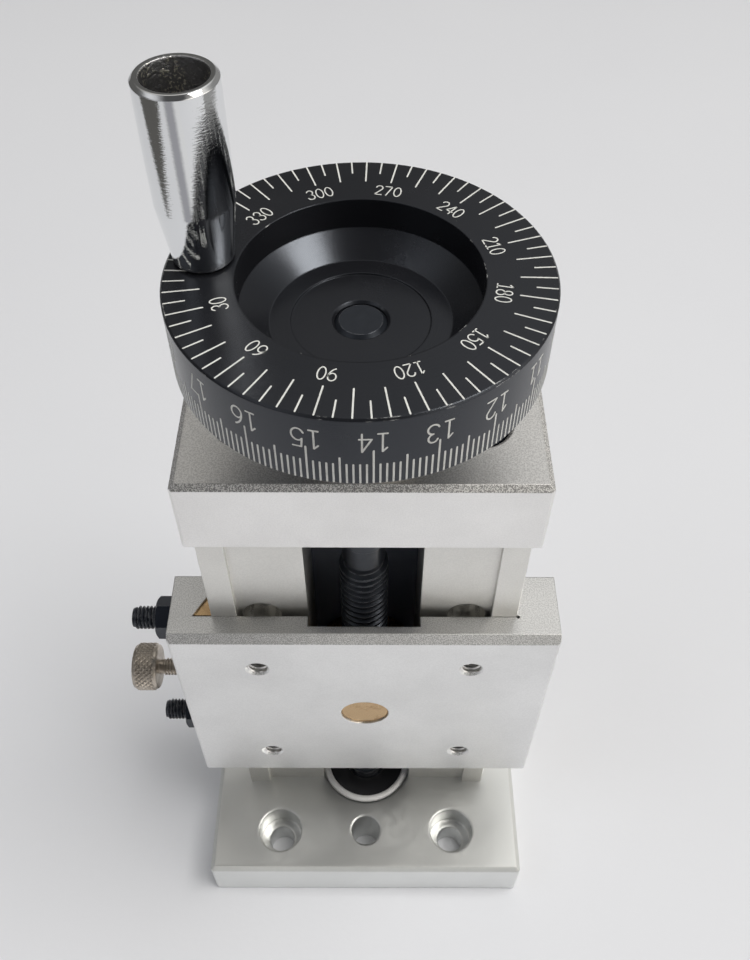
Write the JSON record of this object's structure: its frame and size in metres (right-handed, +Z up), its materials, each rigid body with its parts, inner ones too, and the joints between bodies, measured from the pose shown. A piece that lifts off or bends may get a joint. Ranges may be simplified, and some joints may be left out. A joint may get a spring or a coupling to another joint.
{
  "type": "dovetail z-axis stage",
  "caption": "Manual vertical dovetail slide: a graduated handwheel turns a lead screw that lifts a gib-guided carriage along an upright rail on a base plate.",
  "frame": {"origin": "on the lead screw axis, at the underside of the base plate", "axes": "+Z up along the lead screw, -Y towards the front of the carriage, +X to the right seen from the front"},
  "size_m": [0.0942, 0.0584, 0.2109],
  "materials": {
    "matte_aluminium": "bead-blasted and clear anodised, matte",
    "base_aluminium": "milled and clear anodised, satin",
    "black_strip": "black anodised, matte",
    "black_anodised": "turned and black anodised, satin",
    "black_oxide": "black oxide, oiled",
    "plain_steel": "nickel plated, satin",
    "bearing_steel": "ground, bright",
    "seal_rubber": "moulded, matte",
    "brass": "turned, bright",
    "chrome": "chrome plated, mirror with orange peel"
  },
  "bodies": {
    "stand": {"base_plate": "base_aluminium", "rail": "matte_aluminium", "slot_strip": "black_strip", "bearing_block": "matte_aluminium", "upper_outer_rings": "bearing_steel", "upper_seals": "seal_rubber", "bearing_retainer": "plain_steel", "lower_outer_ring": "bearing_steel", "lower_seals": "seal_rubber", "block_screws": "black_oxide", "base_screws": "black_oxide"},
    "spindle": {"lead_screw": "black_oxide", "upper_inner_rings": "bearing_steel", "lower_inner_ring": "bearing_steel", "lock_collar": "plain_steel", "collar_screw": "black_oxide", "handwheel": "black_anodised", "hub_screws": "black_oxide", "handle_bolt": "plain_steel"},
    "handle": {"handle_sleeve": "chrome"},
    "carriage": {"carriage_plate": "matte_aluminium", "gib": "brass", "lead_nut": "brass", "gib_screws": "black_oxide", "lock_nuts": "black_oxide"},
    "lock": {"lock_screw": "plain_steel"}
  },
  "joints": [
    {"name": "wheel_turn", "type": "hinge", "parent": "stand", "child": "spindle", "pos_m": [0, 0, 0.148], "axis": [0, 0, 1], "range_deg": [-5400, 3600]},
    {"name": "carriage_lift", "type": "slide", "parent": "stand", "child": "carriage", "axis": [0, 0, 1], "range_m": [-0.02, 0.03]},
    {"name": "handle_spin", "type": "hinge", "parent": "spindle", "child": "handle", "pos_m": [-0.02275, 0.00401, 0.1838], "axis": [0, 0, 1], "continuous": true},
    {"name": "lock_turn", "type": "hinge", "parent": "carriage", "child": "lock", "pos_m": [-0.04, -0.0002, 0.06775], "axis": [1, 0, 0], "range_deg": [-360, 90]}
  ],
  "couplings": [
    {"joint": "wheel_turn", "follows": "carriage_lift", "rad_per_m": -3141.6}
  ]
}
